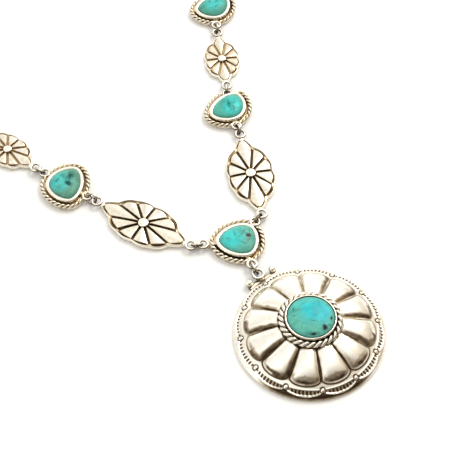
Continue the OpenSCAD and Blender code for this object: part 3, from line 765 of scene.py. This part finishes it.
def bail(skin):
    """The ring that the pendant hangs from, its foot, and the strip that the two balls sit on."""
    ring_wire(skin, [*bail_middle, BAIL_Z], BAIL_R, BAIL_WIRE)
    foot = PENDANT_AT + polar(STRIP_IN, BAIL_DIR)
    length = BAIL_AT - BAIL_R + BAIL_FOOT_PAST - STRIP_IN
    box_tab(skin, foot, BAIL_DIR, length, BAIL_FOOT_W, FOOT_Z, BAIL_Z + TAB_OVER, 0.42)
    edge = 0.15
    section = [(STRIP_IN, 0.0), (STRIP_OUT, 0.0), (STRIP_OUT, STRIP_H - edge), (STRIP_OUT - edge, STRIP_H),
               (STRIP_IN + edge, STRIP_H), (STRIP_IN, STRIP_H - edge)]
    # Painted shade: the strip's sides are darker than its top
    tarnish_and_shade = [0.3, 0.7, 0.6, 0.3, 0.3, 0.7]
    turn = np.linspace(BALL_DIR - STRIP_HALF, BALL_DIR + STRIP_HALF, 40)
    rows = [np.array([[*(PENDANT_AT + polar(r, a)), z] for r, z in section]) for a in turn]
    ends = [np.broadcast_to(row.mean(0), row.shape) for row in (rows[0], rows[-1])]
    skin.grid(np.stack([ends[0], *rows, ends[1]]), tarnish_and_shade, around=False, along=True)


def ball(skin, middle, r, sides=32, rings=17):
    """A ball, with painted shade below its middle."""
    rows = []
    for lift in np.linspace(-np.pi / 2, np.pi / 2, rings):
        rows.append(np.array(middle) + r * (np.cos(lift) * circle(sides) + [0, 0, np.sin(lift)]))
    skin.grid(np.stack(rows, 1), 0.7 * (1 - smooth(np.linspace(-1, 1, rings), -0.3, 0.35)))


# Stones

# Shares of a station stone's height where its side begins and where its dome does
STONE_EDGE, DOME_EDGE = 0.25, 0.36
STONE_COLUMNS, STONE_RINGS = 160, 56
CAB_STONE_COLUMNS, CAB_STONE_RINGS = 180, 64


def station_stone(name):
    row = STATIONS[name]
    angles, _ = even_steps(row, 0, 360, 0, STONE_COLUMNS, True)
    edge, _ = stone_line(row, angles)
    low = PLATE_T + STONE_GAP
    rise = STONE_H - low
    rings = Rings(station_at(name))
    # Painted shade: the stone's side and the edge of its dome by the bezel are darker, carried in the
    # matrix value
    for share, z in ((0, low), (1, low), (1, low + STONE_EDGE * rise)):
        rings.add(edge * share, z, np.maximum(matrix_value(name, edge * share), 0.55))
    for share in np.cos(np.linspace(0, np.pi / 2, STONE_RINGS)):
        z = low + rise * (DOME_EDGE + (1 - DOME_EDGE) * (1 - share**2.4) ** 0.45)
        rim = 0.55 * np.exp((share - 1) / 0.045)
        rings.add(edge * share, z, np.maximum(matrix_value(name, edge * share), rim))
    skin = Skin()
    rings.onto(skin)
    return skin.build(name + "_stone", turquoise[name], [name + "_stone"])


def pendant_stone():
    edge_r = CAB_D / 2
    crown_r = (edge_r**2 + CAB_CROWN**2) / (2 * CAB_CROWN)
    out = circle(CAB_STONE_COLUMNS)[:, :2]
    crown = edge_r * np.cos(np.linspace(0, np.pi / 2, CAB_STONE_RINGS))
    rings = Rings(PENDANT_AT)
    # The first two rings are the flat underside
    for index, r in enumerate([0, edge_r, *crown]):
        # rim: near the bezel the top dips, and painted shade is added to the matrix value
        rim = np.exp((r - edge_r) / 0.35)
        top = CAB_BEZEL_H + CAB_CROWN - crown_r + np.sqrt(crown_r**2 - r**2) - 0.35 * rim
        z = CAB_FLOOR + STONE_GAP if index < 2 else top
        rings.add(out * r, z, np.maximum(matrix_value("pendant", out * r), 0.5 * rim))
    skin = Skin()
    rings.onto(skin)
    return skin.build("pendant_stone", turquoise["pendant"], ["pendant_stone"])


# Dark spots of each stone: x, y, half length, half width, direction, depth
SPOTS = {
    "pendant": [(1.2, -6.1, 1.0, 0.8, 10, 1.0), (5.0, -4.3, 0.9, 0.6, 40, 0.85),
                (-3.2, -5.8, 1.9, 0.7, -33, 0.7), (-0.8, -2.1, 1.1, 0.22, -33, 0.5),
                (-3.4, 4.9, 1.0, 0.22, 60, 0.5), (-4.6, 3.0, 0.5, 0.3, 0, 0.5),
                (4.9, 2.6, 1.3, 0.35, 60, 0.3), (3.2, -6.0, 0.6, 0.4, 0, 0.5)],
    "centre": [(3.5, -1.1, 0.9, 0.55, -50, 0.95), (3.0, 0.1, 1.5, 0.3, -55, 0.55),
               (2.0, 0.8, 2.0, 0.25, 20, 0.42), (-0.6, 1.8, 0.6, 0.35, 40, 0.55),
               (0.2, -2.8, 1.4, 0.3, -50, 0.45), (2.6, -2.6, 1.2, 0.3, 20, 0.4),
               (4.6, 0.6, 1.0, 0.3, 60, 0.45)],
    "left_near": [(2.6, 1.2, 2.1, 1.5, 30, 0.72), (0.4, -1.4, 1.3, 0.9, 100, 0.85),
                  (0.6, 2.6, 1.3, 0.8, 80, 0.5), (4.2, -0.6, 1.8, 0.7, 80, 0.45),
                  (-2.4, 1.8, 0.8, 0.4, 20, 0.55), (1.6, 0.0, 1.4, 0.3, 50, 0.5)],
    "right_near": [(0.2, -0.2, 3.0, 0.55, 72, 0.62), (-1.0, 2.2, 2.2, 1.0, 20, 0.42),
                   (0.6, -2.4, 1.4, 0.6, 60, 0.5), (-2.6, -0.6, 1.6, 0.6, 70, 0.3)],
    "left_far": [(1.0, 1.2, 0.9, 0.6, 30, 0.7), (-1.8, -1.0, 0.6, 0.5, 80, 0.6),
                 (2.6, -1.6, 1.2, 0.25, 60, 0.5)],
    "right_far": [(2.0, 1.0, 0.8, 0.6, 30, 0.6), (-1.0, 1.6, 0.7, 0.4, 100, 0.5),
                  (0.4, -1.8, 1.3, 0.25, 20, 0.5)],
}


def matrix_value(name, points):
    """How much dark matrix shows at each point of a stone, from 0 to 1."""
    x, y = points[..., 0], points[..., 1]
    wx = x + 0.28 * ripple(x, y, 1.8, 21) + 0.10 * ripple(x, y, 0.8, 23)
    wy = y + 0.28 * ripple(x, y, 1.8, 22) + 0.10 * ripple(x, y, 0.8, 24)
    total = np.zeros_like(x)
    for sx, sy, long, wide, turn, depth in SPOTS[name]:
        ahead = polar(1, turn)
        u = ((wx - sx) * ahead[0] + (wy - sy) * ahead[1]) / long
        v = (-(wx - sx) * ahead[1] + (wy - sy) * ahead[0]) / wide
        total = np.maximum(total, depth * (1 - smooth(np.hypot(u, v), 0.0, 1.8)))
    return total


# Materials

class Nodes:
    """Short calls for building the node tree of a material or world that ends in the named node."""

    def __init__(self, owner, last):
        owner.use_nodes = True
        self.tree = owner.node_tree
        self.last = self.tree.nodes[last]

    def fill(self, node, inputs):
        """Give each input of a node a value, or a link from another node."""
        for key, value in inputs.items():
            if isinstance(value, bpy.types.NodeSocket):
                self.tree.links.new(value, node.inputs[key])
            else:
                node.inputs[key].default_value = value

    def add(self, kind, inputs, **settings):
        node = self.tree.nodes.new(kind)
        for key, value in settings.items():
            setattr(node, key, value)
        self.fill(node, inputs)
        return node

    def math(self, operation, a, b, c=0.0, clamp=False):
        node = self.add("ShaderNodeMath", {0: a, 1: b, 2: c}, operation=operation, use_clamp=clamp)
        return node.outputs[0]

    def mix(self, share, a, b, blend="MIX"):
        """Colour a where the share is 0 and colour b where it is 1."""
        a, b = ((*colour, 1) if isinstance(colour, tuple) else colour for colour in (a, b))
        node = self.add("ShaderNodeMix", {0: share, 6: a, 7: b}, data_type="RGBA", blend_type=blend)
        return node.outputs[2]

    def ramp(self, value, stops):
        """Colours by value, even between the stops."""
        node = self.add("ShaderNodeValToRGB", {0: value})
        while len(node.color_ramp.elements) < len(stops):
            node.color_ramp.elements.new(0.5)
        for element, (place, colour) in zip(node.color_ramp.elements, stops):
            element.position = place
            element.color = (*colour, 1)
        return node.outputs[0]

    def rise(self, value, low, high, top=1.0):
        """0 up to low, and the top value from high."""
        return self.ramp(value, [(low, (0, 0, 0)), (high, (top, top, top))])

    def fall(self, value, low, high):
        """1 up to low, and 0 from high."""
        return self.ramp(value, [(low, (1, 1, 1)), (high, (0, 0, 0))])

    def noise(self, where, scale, detail, roughness, stretch=None):
        if stretch:
            where = self.add("ShaderNodeMapping", {"Vector": where, "Scale": stretch}).outputs[0]
        inputs = {"Vector": where, "Scale": scale, "Detail": detail, "Roughness": roughness}
        return self.add("ShaderNodeTexNoise", inputs).outputs["Fac"]

    def place(self):
        return self.add("ShaderNodeTexCoord", {}).outputs["Object"]

    def tarnish_and_shade(self):
        return self.add("ShaderNodeAttribute", {}, attribute_name="tarnish_and_shade").outputs["Fac"]

    def bump(self, height, strength, distance):
        inputs = {"Height": height, "Strength": strength, "Distance": distance}
        return self.add("ShaderNodeBump", inputs).outputs[0]


def toned(tint, shares):
    """A tint with each of its channels taken down to a share."""
    return tuple(a * b for a, b in zip(tint, shares))


OXIDE_BROWN, OXIDE_DARK, OXIDE_BLACK = (0.110, 0.070, 0.036), (0.034, 0.023, 0.013), (0.020, 0.013, 0.008)


def silver_material(name, tint, tan, roughness, scratch, wall_shade, wall_top):
    """Warm sterling silver, satin with fine scratches, tan to brown-black by its value of tarnish and
    painted shade, and tan on upright faces as painted shade.
    """
    material = bpy.data.materials.new(name)
    n = Nodes(material, "Principled BSDF")
    where = n.place()
    tarnish_and_shade = n.tarnish_and_shade()
    cloud = n.noise(where, 700, 4, 0.6)
    grain = n.noise(where, 4200, 3, 0.6)
    brushed = n.noise(where, 2600, 3, 0.7, stretch=(1.0, 0.12, 1.0))
    spread = n.math("MULTIPLY_ADD", cloud, 0.5, -0.25)
    spread = n.math("MULTIPLY", spread, n.rise(tarnish_and_shade, 0.03, 0.40))
    edge = n.math("ADD", tarnish_and_shade, spread, clamp=True)
    # Painted shade: faces that stand upright are tan too
    normal = n.add("ShaderNodeNewGeometry", {}).outputs["Normal"]
    facing = n.add("ShaderNodeSeparateXYZ", {0: normal}).outputs[2]
    wall_painted_shade = n.math("MULTIPLY", n.fall(facing, 0.0, wall_top), wall_shade)
    edge = n.math("MAXIMUM", edge, n.math("MULTIPLY", wall_painted_shade, n.math("ADD", cloud, 0.3)))
    bright = n.mix(n.rise(cloud, 0.35, 0.75), tint, toned(tint, (0.93, 0.90, 0.81)))
    bright = n.mix(n.fall(grain, 0.30, 0.52), bright, toned(tint, (0.86, 0.82, 0.70)))
    film = n.mix(n.rise(edge, 0.06, 0.36), bright, tan)
    worn = n.mix(n.rise(edge, 0.34, 0.76), film, n.mix(grain, OXIDE_BROWN, OXIDE_DARK))
    low = n.math("MULTIPLY_ADD", brushed, 0.16, roughness - 0.08)
    relief = n.math("ADD", n.math("MULTIPLY", brushed, 0.7), n.math("MULTIPLY", grain, 0.5))
    n.fill(n.last, {
        "Base Color": n.mix(n.rise(edge, 0.80, 0.98), worn, OXIDE_BLACK),
        "Metallic": 1.0,
        "Roughness": n.add("ShaderNodeMix", {0: edge, 2: low, 3: 0.55}, data_type="FLOAT").outputs[0],
        "Normal": n.bump(relief, scratch, 0.00004),
    })
    return material


def turquoise_material(name, middle, reach, deep, pale, green, matrix, shift):
    """Polished turquoise: cloudy blue in the middle, greener outwards, with matrix and dark streaks."""
    material = bpy.data.materials.new(name)
    n = Nodes(material, "Principled BSDF")
    place = n.place()
    where = n.add("ShaderNodeMapping", {"Vector": place, "Location": (shift, shift * 0.7, 0)}).outputs[0]
    cloud = n.noise(where, 330, 4, 0.6)
    broad = n.noise(where, 150, 3, 0.55)
    speck = n.noise(where, 1500, 5, 0.65)
    streaks = n.noise(where, 420, 4, 0.7, stretch=(0.45, 1.3, 1.0))
    web = n.add("ShaderNodeTexVoronoi", {"Vector": where, "Scale": 300.0, "Randomness": 1.0},
                feature="DISTANCE_TO_EDGE").outputs["Distance"]
    away = n.add("ShaderNodeVectorMath", {0: place, 1: middle}, operation="DISTANCE").outputs["Value"]
    outward = n.math("ADD", n.math("MULTIPLY", away, 0.72 / reach), n.math("MULTIPLY", broad, 0.6))
    body = n.mix(n.rise(cloud, 0.36, 0.62), deep, pale)
    body = n.mix(n.rise(outward, 0.58, 0.90), body, green)
    patches = n.rise(n.noise(where, 230, 5, 0.65), 0.50, 0.64, 0.5)
    body = n.mix(patches, body, tuple(0.35 * a + 0.35 * b for a, b in zip(deep, green)))
    dark = n.math("MULTIPLY", n.rise(streaks, 0.52, 0.68), 0.6)
    body = n.mix(dark, body, toned(green, (0.45, 0.45, 0.45)))
    thin = n.math("MULTIPLY", n.fall(web, 0.0, 0.03), n.rise(outward, 0.72, 0.90, 0.2))
    body = n.mix(thin, body, matrix)
    # The point value holds the matrix and the painted shade at the stone's edge
    matrix_and_edge_shade = n.math("ADD", n.tarnish_and_shade(), n.math("MULTIPLY", speck, 0.8))
    matrix_stain_and_shade = tuple(0.4 * a + 0.28 * b for a, b in zip(matrix, green))
    body = n.mix(n.rise(matrix_and_edge_shade, 0.38, 0.98, 0.85), body, matrix_stain_and_shade)
    blot = n.rise(matrix_and_edge_shade, 0.92, 1.0)
    n.fill(n.last, {
        "Base Color": n.mix(blot, body, matrix),
        "Roughness": 0.32,
        "Specular IOR Level": 0.13,
        "Coat Weight": 0.05,
        "Coat Roughness": 0.12,
        "Normal": n.bump(n.math("SUBTRACT", speck, n.math("MULTIPLY", blot, 1.5)), 0.12, 0.00005),
    })
    return material


# Tint, tan, roughness, depth of the scratches, how much painted shade the upright walls get and up to what
# slope
silver = silver_material("silver_satin", (0.965, 0.945, 0.89), (0.46, 0.378, 0.268), 0.22, 0.22, 0.08, 0.55)
golden = silver_material("silver_golden", (0.965, 0.94, 0.865), (0.52, 0.38, 0.20), 0.22, 0.22, 0.08, 0.55)
# The rings' silver: a darker tint than the rest and strong tan on upright sides, both painted shade
wire = silver_material("silver_wire", (0.84, 0.82, 0.77), (0.42, 0.35, 0.25), 0.16, 0.20, 1.10, 0.98)
# Each stone's deep blue, pale blue, green and matrix, and where from its middle it is bluest
STONES = {
    "pendant": ((0.018, 0.46, 0.52), (0.035, 0.57, 0.61), (0.125, 0.49, 0.39), (0.010, 0.018, 0.015),
                (1.9, 0.9)),
    "centre": ((0.035, 0.52, 0.50), (0.070, 0.64, 0.61), (0.130, 0.46, 0.36), (0.020, 0.022, 0.016),
               (-1.8, 0.9)),
    "left_near": ((0.045, 0.45, 0.43), (0.100, 0.56, 0.52), (0.135, 0.37, 0.27), (0.003, 0.085, 0.070),
                  (-1.3, 1.3)),
    "right_near": ((0.028, 0.55, 0.53), (0.070, 0.66, 0.62), (0.100, 0.45, 0.35), (0.006, 0.130, 0.110),
                   (1.1, -1.2)),
    "left_far": ((0.035, 0.47, 0.45), (0.085, 0.57, 0.53), (0.090, 0.37, 0.28), (0.040, 0.028, 0.022),
                 (0, 0)),
    "right_far": ((0.035, 0.48, 0.46), (0.080, 0.58, 0.54), (0.095, 0.38, 0.29), (0.045, 0.032, 0.022),
                  (0, 0)),
}


def stone_place(name):
    """Where the middle of a stone is, the height that its blue spreads from, and its radius."""
    if name == "pendant":
        return PENDANT_AT, 11.8, CAB_D / 2
    x, y, radius = STATIONS[name][:3]
    return (x, y), 3.5, radius


turquoise = {}
for index, (name, (*colours, bluest)) in enumerate(STONES.items()):
    at, height, radius = stone_place(name)
    middle = ((at[0] + bluest[0]) * MM, (at[1] + bluest[1]) * MM, height * MM)
    turquoise[name] = turquoise_material("turquoise_" + name, middle, radius * MM, *colours, 0.014 * index)

for name in STATIONS:
    setting(name)
    station_stone(name)
for name in CONCHOS:
    concho(name)
pendant_body()
pendant_stone()
for name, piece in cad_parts.items():
    if "ring" in name or "chain" in name or name == "clasp_hook":
        piece.data.materials.clear()
        piece.data.materials.append(wire)
        piece.data.shade_smooth()


# Floor, light and camera

def floor():
    material = bpy.data.materials.new("floor_white")
    n = Nodes(material, "Principled BSDF")
    grain = n.noise(n.place(), 900, 3, 0.5)
    white = (0.92, 0.92, 0.91)
    colour = n.mix(grain, white, toned(white, (0.985, 0.985, 0.985)))
    n.fill(n.last, {"Base Color": colour, "Roughness": 0.7})
    half = 1.5
    mesh = bpy.data.meshes.new("floor")
    corners = [(-half, -half, 0), (half, -half, 0), (half, half, 0), (-half, half, 0)]
    mesh.from_pydata(corners, [], [(0, 1, 2, 3)])
    mesh.materials.append(material)
    piece = bpy.data.objects.new("floor", mesh)
    bpy.context.scene.collection.objects.link(piece)


def area_light(name, place, size, power, colour):
    """A square light over the table, turned to a point on the front strands."""
    data = bpy.data.lights.new(name, "AREA")
    data.shape, data.size, data.energy, data.color = "SQUARE", size, power, colour
    light = bpy.data.objects.new(name, data)
    bpy.context.scene.collection.objects.link(light)
    light.location = place
    aim = Vector((0, 0.03, 0)) - Vector(place)
    light.rotation_euler = aim.to_track_quat("-Z", "Y").to_euler()


# The room's dark side, turned like the camera's side
DARK_SIDE = -15.0
# Towards the right of the picture the sky is darker and tan
TAN_SIDE = -38.0
TAN_VEIL = [(0.35, (1.0, 1.0, 1.0)), (0.72, (0.76, 0.70, 0.62)), (0.95, (0.40, 0.33, 0.25))]
# Sky colour by direction, from straight away from the dark side to straight at it
SKY = [(0.00, (1.40, 1.40, 1.39)), (0.12, (1.16, 1.15, 1.13)), (0.22, (1.00, 0.98, 0.94)),
       (0.40, (1.12, 1.11, 1.08)), (0.56, (1.40, 1.39, 1.37)), (0.69, (1.02, 0.99, 0.94)),
       (0.79, (0.38, 0.32, 0.25)), (0.88, (0.22, 0.175, 0.135)), (1.00, (0.21, 0.17, 0.13))]


def sky():
    """A pale studio, bright above and behind, with the dark of the room on the viewer's side."""
    world = bpy.data.worlds.new("studio")
    bpy.context.scene.world = world
    n = Nodes(world, "Background")
    where = n.add("ShaderNodeTexCoord", {}).outputs["Generated"]

    def along(direction):
        node = n.add("ShaderNodeVectorMath", {0: where, 1: direction}, operation="DOT_PRODUCT")
        return node.outputs["Value"]

    dark, tan = radians(DARK_SIDE), radians(TAN_SIDE)
    toward_dark = along((np.sin(dark), -np.cos(dark), 0.0))
    toward_tan = along((np.cos(tan), np.sin(tan), 0.0))
    share = n.add("ShaderNodeMapRange", {"Value": toward_dark, "From Min": -1.0}).outputs[0]
    colour = n.mix(1.0, n.ramp(share, SKY), n.ramp(toward_tan, TAN_VEIL), "MULTIPLY")
    n.fill(n.last, {"Color": colour})


def camera():
    side, height = radians(CAMERA_SIDE), radians(CAMERA_HEIGHT)
    back = Vector((np.sin(side) * np.cos(height), -np.cos(side) * np.cos(height), np.sin(height)))
    target = Vector(LOOK_AT) * MM
    data = bpy.data.cameras.new("camera")
    data.lens, data.clip_start, data.clip_end = LENS, 0.01, 10
    view = bpy.data.objects.new("camera", data)
    bpy.context.scene.collection.objects.link(view)
    view.location = target + back * CAMERA_DISTANCE * MM
    view.rotation_euler = back.to_track_quat("Z", "Y").to_euler()
    bpy.context.scene.camera = view


floor()
area_light("top", place=(0.70, 0.25, 0.85), size=0.6, power=6.5, colour=(1, 0.99, 0.97))
sky()
camera()
bpy.context.scene.view_settings.view_transform = "Standard"
